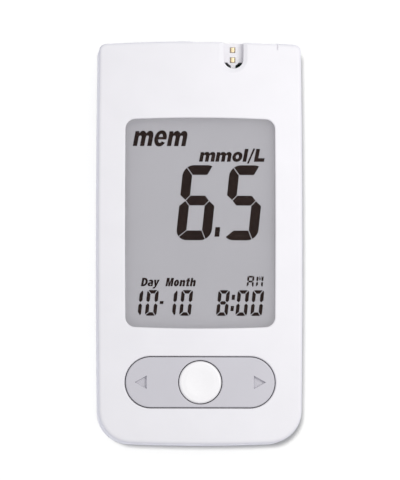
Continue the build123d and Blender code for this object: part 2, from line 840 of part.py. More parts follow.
save(front_cover(), "front_cover")
save(rear_cover(), "rear_cover")
save(battery_door(), "battery_door")
save(display_window(), "display_window")
save(window_gasket(), "window_gasket")
save(glass(rear_glass_high, front_glass_top, gasket_bottom), "lcd_front_polariser")
save(glass(front_glass_high, front_glass_bottom, front_glass_top), "lcd_front_glass")
save(glass(rear_glass_high, rear_glass_bottom, front_glass_bottom), "lcd_rear_glass")
save(glass(rear_glass_high, reflector_bottom, rear_glass_bottom), "lcd_reflector")
save(lcd_holder(), "lcd_holder")
save(zebra_space(0), "connector_strip")
save(main_board(), "main_board")
save(arrow_rocker(), "arrow_rocker")
save(main_button(), "main_button")
save(key_frame(), "key_frame")
for name, dome_x in (("left", -plunger_spread), ("middle", 0), ("right", plunger_spread)):
    save(snap_dome(dome_x), f"snap_dome_{name}")
save(strip_guide(), "strip_guide")
for name, place in zip(("outer", "inner"), port_contact_places()):
    save(port_contact(*place), f"port_contact_{name}")
save(strip_connector(), "strip_connector")
save(Part() + [connector_leaf(index) for index in range(connector_pins)], "strip_contact_springs")
for name, cell_x in (("left", -cell_spacing / 2), ("right", cell_spacing / 2)):
    save(coin_cell(cell_x), f"coin_cell_{name}")
    save(negative_contact(cell_x), f"negative_contact_{name}")
    save(positive_contact(cell_x), f"positive_contact_{name}")
save(leaded_chip(processor_place, processor_size, processor_size, processor_leads, 1), "microcontroller")
small_chips = (("measuring_chip", (port_x, measuring_chip_offset)), ("memory_chip", memory_chip_place))
for name, place in small_chips:
    save(leaded_chip(place, small_chip_width, small_chip_length, small_chip_leads, -1), name)
save(clock_crystal(), "clock_crystal")
save(piezo_buzzer(), "piezo_buzzer")
save(small_parts(capacitor_start, capacitor_count, capacitor_pitch, capacitor_size), "capacitors")
save(small_parts(resistor_start, resistor_count, resistor_pitch, resistor_size), "resistors")
case_screws = screws(case_screw_places, screw_radius, screw_length,
                     screw_head_radius, screw_head_height, screw_seat_height)
save(case_screws, "case_screws")
board_screws = screws(board_screw_places, board_screw_radius, board_screw_length,
                      board_screw_head_radius, board_screw_head_height, board_bottom)
save(board_screws, "board_screws")
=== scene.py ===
import math

import bmesh
import bpy
from bpy.props import FloatProperty, FloatVectorProperty, PointerProperty
from bpy.types import Operator, Panel, PropertyGroup
from mathutils import Matrix, Vector


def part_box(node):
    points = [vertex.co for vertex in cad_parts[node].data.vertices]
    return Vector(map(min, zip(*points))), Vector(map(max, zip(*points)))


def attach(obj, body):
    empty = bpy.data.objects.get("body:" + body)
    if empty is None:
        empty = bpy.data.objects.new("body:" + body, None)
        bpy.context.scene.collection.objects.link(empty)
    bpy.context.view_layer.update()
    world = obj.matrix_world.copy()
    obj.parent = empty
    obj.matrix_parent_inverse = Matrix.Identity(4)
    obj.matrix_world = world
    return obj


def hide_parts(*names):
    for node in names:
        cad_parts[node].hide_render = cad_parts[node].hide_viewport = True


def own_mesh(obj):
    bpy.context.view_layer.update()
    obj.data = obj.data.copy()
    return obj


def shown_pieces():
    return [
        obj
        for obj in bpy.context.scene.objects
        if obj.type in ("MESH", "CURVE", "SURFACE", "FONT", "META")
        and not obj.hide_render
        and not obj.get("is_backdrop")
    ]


bl_info = {
    "name": "Blood Glucose Meter",
    "version": (1, 0, 0),
    "blender": (4, 5, 0),
    "location": "3D View > Sidebar > Meter",
    "description": "Finishes, display, label and studio of a blood glucose meter round its packed frame",
    "category": "Add Mesh",
}

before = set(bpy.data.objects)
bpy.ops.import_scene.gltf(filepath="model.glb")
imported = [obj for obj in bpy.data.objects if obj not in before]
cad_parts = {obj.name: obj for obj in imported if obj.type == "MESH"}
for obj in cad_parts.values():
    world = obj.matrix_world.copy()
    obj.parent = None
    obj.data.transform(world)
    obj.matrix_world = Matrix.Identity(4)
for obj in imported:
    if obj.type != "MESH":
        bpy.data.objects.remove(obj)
bpy.context.view_layer.update()
MM = 0.001

# Places taken from the frame
WINDOW_LOW, WINDOW_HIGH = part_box("display_window")
WINDOW_CENTRE_Y = (WINDOW_LOW.y + WINDOW_HIGH.y) / 2
POLARISER_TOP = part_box("lcd_front_polariser")[1].z
FRONT_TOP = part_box("front_cover")[1].z


# ---------------------------------------------------------------- settings


def length(name, description, millimetres):
    """Length property of a settings group, its default given in millimetres."""
    return FloatProperty(
        name=name, description=description, default=millimetres * MM, min=0.0, unit="LENGTH", precision=5)


def angle(name, description, degrees):
    """Angle property of a settings group, its default given in degrees."""
    return FloatProperty(name=name, description=description, default=math.radians(degrees), subtype="ANGLE")


def number(name, description, default, unit="NONE"):
    """Plain number of a settings group, or a number in this unit."""
    return FloatProperty(name=name, description=description, default=default, unit=unit)


def colour(name, description, default):
    """Colour property of a settings group, in linear light."""
    return FloatVectorProperty(
        name=name, description=description, default=default, subtype="COLOR", size=3, min=0.0, max=1.0)


class HousingSettings(PropertyGroup):
    """Colours and grain of the moulded shells."""

    white: colour("Housing white", "Colour of the front cover, rear cover and door", (0.86, 0.845, 0.88))
    grain_size: length("Grain size", "Distance between the pits of the moulded texture", 0.22)
    grain_depth: length("Grain depth", "Depth of the moulded texture", 0.004)
    label: colour("Label", "Colour of the blank label on the back", (0.74, 0.75, 0.77))


class KeySettings(PropertyGroup):
    """Colours of the keys."""

    rocker: colour("Rocker grey", "Colour of the arrow rocker", (0.60, 0.586, 0.632))
    button: colour("Button white", "Colour of the main button", (0.95, 0.935, 0.95))


class DisplaySettings(PropertyGroup):
    """Colours and segment sizes of the display."""

    background: colour("Background", "Colour of the display where nothing is shown", (0.5, 0.488, 0.516))
    segments: colour("Segments", "Colour of a segment that is on", (0.018, 0.0095, 0.008))
    ink_thickness: length("Segment thickness", "Height of the segments over the polariser", 0.02)
    slant: number("Slant", "Sideways lean of the figures per height", 0.105)
    word_slant: number("Word slant", "Sideways lean of the words per height", 0.19)


class StudioSettings(PropertyGroup):
    """Place of the camera and strength of the light."""

    distance: length("Camera distance", "Distance from the camera to the front face", 1300)
    view_height: length("View height", "Height of the view at the front face", 114.53)
    from_left: angle("From the left", "Angle of the camera to the left of the display's axis", 2.67)
    from_below: angle("From below", "Angle of the camera below the display's axis", 3.5)
    sky: number("Sky", "Strength of the even light from all sides", 0.69)
    key: number("Key", "Power of the soft lamp at the right", 0.228, unit="POWER")


# ---------------------------------------------------------------- materials

# Range that holds almost all values of a noise
NOISE_RANGE = (0.3, 0.7)

# What the camera sees straight, mirrored or through glass
SEEN_RAYS = ("Camera", "Glossy", "Transmission")


class NodeSheet:
    """Emptied node tree of a material or a world, with its output node."""

    def __init__(self, owner, output):
        owner.use_nodes = True
        self.tree = owner.node_tree
        self.tree.nodes.clear()
        self.output = self.add(output)

    def add(self, kind, inputs=None, **settings):
        """New node with these settings, and with a value or a link for each of these inputs."""
        node = self.tree.nodes.new(kind)
        for name, value in settings.items():
            setattr(node, name, value)
        for socket, value in (inputs or {}).items():
            self.feed(node, socket, value)
        return node

    def feed(self, node, socket, value):
        """Link an input to the output of another node, or set its value."""
        if isinstance(value, bpy.types.NodeSocket):
            self.tree.links.new(value, node.inputs[socket])
        else:
            node.inputs[socket].default_value = value

    def map_range(self, value, source, target):
        """Socket with a value moved from one range to another and kept inside it."""
        inputs = {"Value": value, "From Min": source[0], "From Max": source[1]}
        inputs.update({"To Min": target[0], "To Max": target[1]})
        return self.add("ShaderNodeMapRange", inputs).outputs["Result"]

    def any_ray(self, kinds):
        """Socket that is 1 for rays of these kinds and 0 for all others."""
        path = self.add("ShaderNodeLightPath")
        total = path.outputs[f"Is {kinds[0]} Ray"]
        for kind in kinds[1:]:
            inputs = {0: total, 1: path.outputs[f"Is {kind} Ray"]}
            total = self.add("ShaderNodeMath", inputs, operation="MAXIMUM").outputs["Value"]
        return total

    def split_rays(self, kinds, shader, other_shader):
        """Show one shader to rays of these kinds and another shader to all others."""
        inputs = {"Fac": self.any_ray(kinds), 1: other_shader.outputs[0], 2: shader.outputs[0]}
        self.feed(self.output, "Surface", self.add("ShaderNodeMixShader", inputs).outputs["Shader"])


class Finish(NodeSheet):
    """A new Principled material whose patterns are read from Object coordinates."""

    def __init__(self, name, base, roughness, metallic=0.0):
        self.material = bpy.data.materials.new(name)
        super().__init__(self.material, "ShaderNodeOutputMaterial")
        self.base = base
        inputs = {"Base Color": (*base, 1.0), "Roughness": roughness, "Metallic": metallic}
        self.shader = self.add("ShaderNodeBsdfPrincipled", inputs)
        self.feed(self.output, "Surface", self.shader.outputs["BSDF"])
        self.place = self.add("ShaderNodeTexCoord").outputs["Object"]

    def set(self, socket, value):
        """Value or link on the shader's own socket."""
        self.feed(self.shader, socket, value)

    def pattern(self, kind, output, inputs, **settings):
        """Socket of a texture that is read from Object coordinates."""
        return self.add(kind, {"Vector": self.place, **inputs}, **settings).outputs[output]

    def noise(self, size, detail=2.0, stretch=(1, 1, 1)):
        """Noise whose features are this far apart, in metres."""
        place = self.add("ShaderNodeMapping", {"Vector": self.place, "Scale": stretch}).outputs["Vector"]
        inputs = {"Vector": place, "Scale": 1 / size, "Detail": detail}
        return self.pattern("ShaderNodeTexNoise", "Fac", inputs)

    def tint(self, factor, low, high):
        """Base colour that runs between two colours."""
        ramp = self.add("ShaderNodeValToRGB", {"Fac": factor})
        for stop, position, tone in zip(ramp.color_ramp.elements, NOISE_RANGE, (low, high)):
            stop.position = position
            stop.color = (*tone, 1.0)
        self.set("Base Color", ramp.outputs["Color"])

    def mottle(self, factor, darker, lighter):
        """Base colour that varies by these shares of itself."""
        low, high = ([min(1.0, part * (1 + share)) for part in self.base] for share in (-darker, lighter))
        self.tint(factor, low, high)

    def roughen(self, factor, low, high):
        """Roughness that varies between two values."""
        self.set("Roughness", self.map_range(factor, NOISE_RANGE, (low, high)))

    def bump(self, factor, depth):
        """Relief of this depth, in metres."""
        relief = self.add("ShaderNodeBump", {"Height": factor, "Strength": 1.0, "Distance": depth})
        self.set("Normal", relief.outputs["Normal"])


def moulded_plastic(name, base, roughness, grain, depth):
    """Moulded plastic with an eroded texture and a faint unevenness of colour and gloss.

    The size and depth of its grain are in metres.
    """
    finish = Finish(name, base, roughness)
    finish.mottle(finish.noise(size=9 * MM), darker=0.012, lighter=0.012)
    finish.roughen(finish.noise(size=1.2 * MM), roughness - 0.04, roughness + 0.04)
    finish.bump(finish.noise(size=grain, detail=3.0), depth)
    finish.set("IOR", 1.5)
    return finish.material


def metal(name, base, roughness, brushed=(1, 1, 1)):
    """Rolled or plated metal with fine drawing lines."""
    finish = Finish(name, base, roughness, metallic=1.0)
    lines = finish.noise(size=0.2 * MM, detail=3.0, stretch=brushed)
    finish.mottle(lines, darker=0.08, lighter=0.04)
    finish.roughen(lines, roughness - 0.06, roughness + 0.08)
    finish.bump(lines, depth=0.001 * MM)
    return finish.material


def clear_plastic(name):
    """Clear window plastic that lets light and shadow through to what lies below it."""
    finish = Finish(name, base=(0.98, 0.985, 0.99), roughness=0.03)
    finish.roughen(finish.noise(size=2 * MM), 0.015, 0.045)
    finish.set("Transmission Weight", 1.0)
    finish.set("IOR", 1.49)
    finish.split_rays(("Shadow", "Diffuse"), finish.add("ShaderNodeBsdfTransparent"), finish.shader)
    return finish.material


def display_film(name, base):
    """Polariser film: matte grey with a very fine sparkle and slow clouds."""
    finish = Finish(name, base, roughness=0.5)
    finish.mottle(finish.noise(size=12 * MM), darker=0.01, lighter=0.01)
    finish.roughen(finish.noise(size=0.4 * MM), 0.45, 0.58)
    finish.bump(finish.noise(size=0.12 * MM), depth=0.002 * MM)
    finish.set("Specular IOR Level", 0.15)
    return finish.material


def display_ink(name, base):
    """Dark segments of the display."""
    finish = Finish(name, base, roughness=0.45)
    finish.mottle(finish.noise(size=3 * MM), darker=0.1, lighter=0.1)
    finish.bump(finish.noise(size=0.12 * MM), depth=0.001 * MM)
    finish.set("Specular IOR Level", 0.05)
    return finish.material


def display_glass(name):
    """Thin display glass with a faint green edge."""
    finish = Finish(name, base=(0.86, 0.95, 0.91), roughness=0.04)
    finish.roughen(finish.noise(size=3 * MM), 0.02, 0.06)
    finish.set("Transmission Weight", 1.0)
    finish.set("IOR", 1.52)
    return finish.material


def foam(name):
    """Light grey closed-cell foam."""
    finish = Finish(name, base=(0.5, 0.5, 0.51), roughness=0.9)
    cells = finish.pattern("ShaderNodeTexVoronoi", "Distance", {"Scale": 1 / (0.25 * MM)}, feature="F1")
    finish.tint(cells, (0.44, 0.44, 0.45), (0.58, 0.58, 0.59))
    finish.bump(cells, depth=0.04 * MM)
    return finish.material


def striped_rubber(name):
    """Connector strip of conducting and clear rubber in thin layers."""
    finish = Finish(name, base=(0.05, 0.05, 0.05), roughness=0.6)
    inputs = {"Scale": 1 / (1.3 * MM), "Distortion": 0.4}
    bands = finish.pattern("ShaderNodeTexWave", "Fac", inputs, wave_type="BANDS", bands_direction="X")
    finish.tint(bands, (0.02, 0.02, 0.022), (0.55, 0.58, 0.6))
    finish.bump(bands, depth=0.01 * MM)
    return finish.material


def circuit_board(name):
    """Green solder mask over fine copper tracks."""
    finish = Finish(name, base=(0.02, 0.16, 0.06), roughness=0.35)
    tracks = finish.add("ShaderNodeTexBrick", {
        "Vector": finish.place,
        "Scale": 1 / (4 * MM),
        "Mortar Size": 0.05,
        "Color1": (0.012, 0.13, 0.045, 1),
        "Color2": (0.016, 0.15, 0.055, 1),
        "Mortar": (0.03, 0.24, 0.09, 1),
    })
    finish.set("Base Color", tracks.outputs["Color"])
    finish.roughen(finish.noise(size=1 * MM), 0.28, 0.42)
    finish.bump(tracks.outputs["Fac"], depth=0.02 * MM)
    finish.set("Coat Weight", 0.3)
    return finish.material


def moulded_chip(name):
    """Dull black chip moulding."""
    finish = Finish(name, base=(0.02, 0.02, 0.021), roughness=0.6)
    finish.tint(finish.noise(size=0.8 * MM), (0.014, 0.014, 0.015), (0.028, 0.028, 0.03))
    finish.bump(finish.noise(size=0.08 * MM), depth=0.008 * MM)
    return finish.material


def ceramic(name, base):
    """Fired ceramic body of a small part."""
    finish = Finish(name, base, roughness=0.45)
    finish.mottle(finish.noise(size=0.4 * MM), darker=0.15, lighter=0.15)
    finish.bump(finish.noise(size=0.06 * MM), depth=0.004 * MM)
    return finish.material


def label_film(name, base):
    """Matte label film with a faint paper-like mottle."""
    finish = Finish(name, base, roughness=0.5)
    finish.mottle(finish.noise(size=4 * MM, detail=4.0), darker=0.02, lighter=0.02)
    finish.roughen(finish.noise(size=0.6 * MM), 0.42, 0.56)
    finish.bump(finish.noise(size=0.3 * MM), depth=0.003 * MM)
    return finish.material


def finish_nodes(material, *nodes):
    """Give CAD nodes their finish."""
    for node in nodes:
        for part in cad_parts[node].material_slots:
            part.material = material


# ---------------------------------------------------------------- mesh tools


def new_piece(name, shape, material, body):
    """Turn a bmesh into a piece that rides on a body."""
    bmesh.ops.recalc_face_normals(shape, faces=shape.faces)
    piece = new_object(name, shape, material)
    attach(piece, body)
    return piece


def new_object(name, shape, material):
    """Turn a bmesh into an object of the scene."""
    mesh = bpy.data.meshes.new(name)
    shape.to_mesh(mesh)
    shape.free()
    mesh.materials.append(material)
    made = bpy.data.objects.new(name, mesh)
    bpy.context.scene.collection.objects.link(made)
    return made


def flat_rectangle(shape, width, height, middle):
    """Add a level rectangle round this middle, in millimetres, and return its corners."""
    corners = bmesh.ops.create_grid(shape, x_segments=1, y_segments=1, size=MM / 2)["verts"]
    bmesh.ops.scale(shape, verts=corners, vec=(width, height, 1))
    bmesh.ops.translate(shape, verts=corners, vec=Vector(middle) * MM)
    return corners


def flat_face(shape, corners):
    """New level face with these corners."""
    return shape.faces.new([shape.verts.new((x, y, 0)) for x, y in corners])


def flat_fill(shape, loops):
    """Fill the space inside the first loop and outside the others."""
    edges = []
    for loop in loops:
        verts = [shape.verts.new((x, y, 0)) for x, y in loop]
        edges += [shape.edges.new(pair) for pair in zip(verts, verts[1:] + verts[:1])]
    bmesh.ops.triangle_fill(shape, edges=edges, use_beauty=True, use_dissolve=False, normal=(0, 0, 1))


def raise_faces(shape, thickness):
    """Give flat faces a thickness upwards."""
    result = bmesh.ops.extrude_face_region(shape, geom=list(shape.faces))
    lifted = [part for part in result["geom"] if isinstance(part, bmesh.types.BMVert)]
    bmesh.ops.translate(shape, verts=lifted, vec=(0, 0, thickness))


def lean(shape, verts, slant, pivot):
    """Slant vertices sideways about a level line."""
    matrix = Matrix.Identity(4)
    matrix[0][1] = slant
    matrix[0][3] = -slant * pivot
    bmesh.ops.transform(shape, matrix=matrix, verts=verts)


def in_metres(sizes):
    """Table of sizes in millimetres, turned into metres."""
    return {name: size * MM for name, size in sizes.items()}


def ellipse(x, y, across, up, start, end, steps):
    """Points along an elliptical arc round a centre, between two angles in degrees."""
    angles = [math.radians(start + (end - start) * step / steps) for step in range(steps + 1)]
    return [(x + across * math.cos(turn), y + up * math.sin(turn)) for turn in angles]


def arc(x, y, radius, start, end, steps=6):
    """Points along a round arc."""
    return ellipse(x, y, radius, radius, start, end, steps)


# ---------------------------------------------------------------- figures and letters

# Segments that each figure lights
FIGURES = {
    "0": ("top", "upper_right", "lower_right", "bottom", "lower_left", "upper_left"),
    "1": ("upper_right", "lower_right"),
    "5": ("top", "upper_left", "middle", "lower_right", "bottom"),
    "6": ("top", "upper_left", "middle", "lower_left", "lower_right", "bottom"),
    "8": ("top", "upper_right", "lower_right", "bottom", "lower_left", "upper_left", "middle"),
    "A": ("top", "upper_right", "lower_right", "lower_left", "upper_left", "middle"),
    "M": ("upper_right", "lower_right", "lower_left", "upper_left", "left_slope", "right_slope"),
}

# Angles at which a figure's round corners pass from one segment to the next, in degrees
RIGHT_SPLIT = 62
UPPER_LEFT_SPLIT = 130
LOWER_LEFT_SPLIT = 222

# How far the points between the segments lie from the figure's sides, as a share of the bar
TIP_SHARE = 0.57


class Figure:
    """Segmented figure with round outer corners, in metres from its lower left corner."""

    def __init__(self, width, height, middle, bar, gap, corner):
        self.width, self.height, self.bar = width + gap, height + gap, bar + gap
        self.middle, self.corner, self.inset = middle + gap / 2, corner + gap / 2, gap / 2

    def outlines(self):
        """Corners of each segment, anticlockwise, before the gap is taken off all round."""
        w, h, t, r = self.width, self.height, self.bar, self.corner
        middle, tip = self.middle, TIP_SHARE * t
        low, high = middle - t / 2, middle + t / 2
        top_right = arc(w - r, h - r, r, RIGHT_SPLIT, 90, steps=3)
        top_left = arc(r, h - r, r, 90, UPPER_LEFT_SPLIT, steps=4)
        right_high = arc(w - r, h - r, r, 0, RIGHT_SPLIT)
        left_high = arc(r, h - r, r, UPPER_LEFT_SPLIT, 180)
        left_low = arc(r, r, r, 180, LOWER_LEFT_SPLIT)
        right_low = arc(w - r, r, r, -RIGHT_SPLIT, 0)
        bottom_left = arc(r, r, r, LOWER_LEFT_SPLIT, 270, steps=5)
        bottom_right = arc(w - r, r, r, -90, -RIGHT_SPLIT, steps=3)
        left_slope = [(t, h - 1.1 * t), (w / 2, 0.48 * h), (w / 2, 0.72 * h), (1.2 * t, h), (t, h)]
        return {
            "top": [(t, h - t), (w - t, h - t)] + top_right + top_left,
            "upper_right": [(w - t, high), (w - tip, middle), (w, high)] + right_high + [(w - t, h - t)],
            "upper_left": [(tip, middle), (t, high), (t, h - t)] + left_high + [(0, high)],
            "middle": [(tip, middle), (t, low), (w - t, low), (w - tip, middle), (w - t, high), (t, high)],
            "lower_left": [(0, low)] + left_low + [(t, t), (t, low), (tip, middle)],
            "lower_right": [(w - t, low), (w - t, t)] + right_low + [(w, low), (w - tip, middle)],
            "bottom": [(w - t, t), (t, t)] + bottom_left + bottom_right,
            "left_slope": left_slope,
            "right_slope": [(w - x, y) for x, y in reversed(left_slope)],
        }

    def light(self, shape, figure, x, y):
        """Add the lit segments of a figure whose lower left corner is at this place."""
        outlines = self.outlines()
        faces = [flat_face(shape, outlines[segment]) for segment in FIGURES[figure]]
        shift = (x - self.inset, y - self.inset, 0)
        bmesh.ops.translate(shape, verts=list({vert for face in faces for vert in face.verts}), vec=shift)
        trimmed = bmesh.ops.inset_individual(shape, faces=faces, thickness=self.inset, use_even_offset=True)
        bmesh.ops.delete(shape, geom=trimmed["faces"], context="FACES")


class Lettering:
    """Bold letters, upright and in metres from the left end of the base line.

    Each letter gives its outlines, the outer one first, and its width. The fractions in a letter are shares
    of the stem, the bar or the height that they stand by.
    """

    def __init__(self, x_height, cap_height, stem, counter, bar, bowl):
        self.x_height, self.cap_height, self.stem, self.counter = x_height, cap_height, stem, counter
        self.bar, self.bowl = bar, bowl

    def arches(self, count, top):
        """Stems joined by round arches, the first one up to this level."""
        s, g, h = self.stem, self.counter, self.x_height
        points = [(0, 0), (s, 0)]
        for index in range(count):
            left = s + index * (g + s)
            points += ellipse(left + g / 2, 0.58 * h, g / 2, 0.1 * h, 180, 0, steps=8)
            points += [(left + g, 0), (left + g + s, 0)]
        across, up = 0.54 * (g + s), 0.33 * h
        for index in reversed(range(count)):
            start = 0 if index == count - 1 else 40
            points += ellipse(s + (index + 1) * (g + s) - across, h - up, across, up, start, 150, steps=12)
        return [points + [(0.88 * s, top), (0, top)]], s + count * (g + s)

    def letter_m(self):
        return self.arches(2, 0.97 * self.x_height)

    def letter_n(self):
        return self.arches(1, 0.97 * self.x_height)

    def letter_h(self):
        return self.arches(1, self.cap_height)

    def letter_o(self):
        x, y = self.bowl / 2, self.x_height / 2
        outer = ellipse(x, y, x, 1.04 * y, 0, 350, steps=35)
        inner = ellipse(x, y, x - 0.95 * self.stem, 1.04 * y - self.bar, 0, 350, steps=35)
        return [outer, inner], self.bowl

    def letter_e(self):
        x, y = self.bowl / 2, self.x_height / 2
        up, inner_across, inner_up = 1.06 * y, x - 0.92 * self.stem, 1.06 * y - 1.3 * self.bar
        outer_low = -math.degrees(math.asin(0.14 * y / up))
        inner_low = 180 + math.degrees(math.asin(0.14 * y / inner_up))
        inner_high = math.degrees(math.asin(0.19 * y / inner_up))
        outer = ellipse(x, y, x, up, outer_low, 328, steps=36)
        outer += ellipse(x, y, inner_across, inner_up, 322, inner_low, steps=14)
        eye = ellipse(x, y, inner_across, inner_up, inner_high, 180 - inner_high, steps=14)
        return [outer, eye], self.bowl

    def letter_l(self):
        s, c = self.stem, self.cap_height
        return [[(0, 0), (s, 0), (s, c), (0, c)]], s

    def letter_slash(self):
        s, c, width = 0.52 * self.stem, self.cap_height, 1.52 * self.stem
        return [[(0, -0.14 * c), (s, -0.14 * c), (width, 1.03 * c), (width - s, 1.03 * c)]], width

    def letter_L(self):
        s, c, width = self.stem, self.cap_height, 2.75 * self.stem
        return [[(0, 0), (width, 0), (width, s), (1.05 * s, s), (1.05 * s, c), (0, c)]], width

    def letter_D(self):
        s, c, b, width = self.stem, self.cap_height, self.bar, 2.75 * self.stem
        across = 0.62 * width
        outer = ellipse(width - across, c / 2, across, c / 2, -90, 90, steps=16)
        inner = ellipse(width - across, c / 2, across - s, c / 2 - b, -90, 90, steps=16)
        return [[(0, 0), *outer, (0, c)], [(s, b), *inner, (s, c - b)]], width

    def letter_a(self):
        s, h, b, width = self.stem, self.x_height, self.bar, 2.4 * self.stem
        across, up = width / 2, 0.31 * h
        hook = ellipse(width - across, 0.66 * h, across, 0.36 * h, 0, 155, steps=10)
        hook += ellipse(width - across, 0.66 * h, across - s, 0.36 * h - b, 150, 0, steps=8)
        bowl = ellipse(0.45 * width, up, 0.45 * width, up, 90, 300, steps=14)
        outer = [(width, 0)] + hook + [(width - s, 0.62 * h)] + bowl + [(width - s, 0.1 * h), (width - s, 0)]
        inner = ellipse(0.56 * width, 0.94 * up, 0.45 * width - 0.75 * s, up - 0.75 * b, 0, 350, steps=20)
        return [outer, inner], width

    def letter_y(self):
        s, h, width = self.stem, self.x_height, 2.6 * self.stem
        points = [(0, h), (1.05 * s, h), (0.52 * width, 0.36 * h), (width - 1.05 * s, h), (width, h)]
        points += [(0.6 * width, -0.08 * h), (0.38 * width, -0.34 * h), (0.05 * width, -0.38 * h)]
        return [points + [(0.05 * width, -0.15 * h), (0.24 * width, -0.12 * h), (0.34 * width, 0)]], width

    def letter_M(self):
        s, c, width = 0.92 * self.stem, self.cap_height, 3.2 * self.stem
        left = [(0, 0), (s, 0), (s, 0.68 * c), (width / 2 - 0.4 * s, 0)]
        points = left + [(width - x, y) for x, y in reversed(left)]
        points += [(width, c), (width - 1.35 * s, c), (width / 2, 0.4 * c), (1.35 * s, c), (0, c)]
        return [points], width

    def letter_t(self):
        s, h, b, left = self.stem, self.x_height, self.bar, 0.3 * self.stem
        right = left + s
        width = right + left
        points = [(left + 0.2 * s, 0), (width, 0), (width, 0.85 * b), (right, 0.85 * b), (right, h - b)]
        points += [(width, h - b), (width, h), (right, h), (right, 1.3 * h), (left, 1.2 * h)]
        return [points + [(left, h), (0, h), (0, h - b), (left, h - b), (left, 0.2 * s)]], width

    def write(self, shape, letters, spacing, x, y):
        """Add a word from this left end of its base line."""
        for name in letters:
            outlines, width = getattr(self, f"letter_{name}")()
            flat_fill(shape, [[(x + across, y + up) for across, up in outline] for outline in outlines])
            x += width + spacing


# ---------------------------------------------------------------- display

# Sizes of the figures and letters, in millimetres
READING = {"width": 8.42, "height": 18.0, "middle": 9.52, "bar": 2.34, "gap": 0.17, "corner": 2.6}
CLOCK = {"width": 2.78, "height": 6.14, "middle": 3.09, "bar": 0.84, "gap": 0.18, "corner": 0.64}
HALF_DAY = {"width": 1.66, "height": 2.72, "middle": 1.34, "bar": 0.46, "gap": 0.07, "corner": 0.4}
MEMORY = {"x_height": 3.68, "cap_height": 4.9, "stem": 1.04, "counter": 0.68, "bar": 0.66, "bowl": 2.95}
UNIT = {"x_height": 2.36, "cap_height": 3.1, "stem": 0.88, "counter": 0.5, "bar": 0.72, "bowl": 2.4}
CAPTION = {"x_height": 1.56, "cap_height": 2.02, "stem": 0.53, "counter": 0.2, "bar": 0.45, "bowl": 1.2}

# Rows of figures, in millimetres from the middle of the window: the level of their feet, the left side of
# each figure, and the middle, width and height of each block
ROWS = {
    "reading": {
        "sizes": READING, "level": -4.03,
        "figures": (("6", -4.88), ("5", 6.3)),
        "blocks": ((4.17, -2.02, 1.15, 2.3),),
    },
    "date": {
        "sizes": CLOCK, "level": -22.1,
        "figures": (("1", -16.56), ("0", -12.87), ("1", -8.36), ("0", -4.68)),
        "blocks": ((-9.15, -18.95, 0.88, 0.72),),
    },
    "time": {
        "sizes": CLOCK, "level": -22.1,
        "figures": (("8", 4.13), ("0", 8.76), ("0", 12.33)),
        "blocks": ((8.0, -17.66, 0.76, 1.24), (7.72, -20.35, 0.76, 1.24)),
    },
    "half_day": {
        "sizes": HALF_DAY, "level": -15.22,
        "figures": (("A", 11.27), ("M", 13.48)),
        "blocks": (),
    },
}

# Words, with the space between their letters and the left end of their base line, measured in the same way
WORDS = {
    "memory": {"sizes": MEMORY, "letters": "mem", "spacing": 0.36, "place": (-16.09, 18.51)},
    "unit": {"sizes": UNIT, "letters": [*"mmol", "slash", "L"], "spacing": 0.25, "place": (-0.23, 14.81)},
    "day": {"sizes": CAPTION, "letters": "Day", "spacing": 0.06, "place": (-14.12, -15.06)},
    "month": {"sizes": CAPTION, "letters": "Month", "spacing": 0.2, "place": (-8.25, -15.06)},
}


class METER_OT_display(Operator):
    """Build the lit segments and words of the display and finish its films, glass and lens"""

    bl_idname = "meter.display"
    bl_label = "Display"

    def execute(self, context):
        self.look = context.scene.meter_display
        self.ink = display_ink("display_ink", self.look.segments)
        for name, row in ROWS.items():
            self.build_figures(f"display_{name}", **row)
        for name, word in WORDS.items():
            self.build_word(f"display_word_{name}", **word)
        film = display_film("polariser_film", self.look.background)
        finish_nodes(film, "lcd_front_polariser", "lcd_reflector")
        finish_nodes(display_glass("thin_display_glass"), "lcd_front_glass", "lcd_rear_glass")
        finish_nodes(clear_plastic("clear_window"), "display_window")
        finish_nodes(foam("light_grey_foam"), "window_gasket")
        return {"FINISHED"}

    def build_figures(self, name, sizes, level, figures, blocks):
        """One piece of leaning figures on one level, with the blocks between them."""
        shape = bmesh.new()
        kind = Figure(**in_metres(sizes))
        for figure, x in figures:
            kind.light(shape, figure, x * MM, level * MM)
        lean(shape, shape.verts, self.look.slant, (level + sizes["height"] / 2) * MM)
        for x, y, width, height in blocks:
            corners = flat_rectangle(shape, width, height, (x, y, 0))
            lean(shape, corners, self.look.slant, y * MM)
        self.finish_segments(name, shape)

    def build_word(self, name, sizes, letters, spacing, place):
        """One piece of leaning letters."""
        shape = bmesh.new()
        x, y = place
        Lettering(**in_metres(sizes)).write(shape, letters, spacing * MM, x * MM, y * MM)
        lean(shape, shape.verts, self.look.word_slant, y * MM)
        self.finish_segments(name, shape)

    def finish_segments(self, name, shape):
        """Lift flat segments on to the polariser and give them their thickness."""
        bmesh.ops.translate(shape, verts=shape.verts, vec=(0, WINDOW_CENTRE_Y, POLARISER_TOP))
        raise_faces(shape, self.look.ink_thickness)
        new_piece(name, shape, self.ink, "housing")


# ---------------------------------------------------------------- housing, keys and inside

# Blank label in the recess of the back, in millimetres
LABEL_SIZE = (33.2, 30.2)
LABEL_MIDDLE = (0, 0.5, 0.18)
LABEL_CORNER = 1.2
LABEL_CORNER_STEPS = 8
LABEL_THICKNESS = 0.12


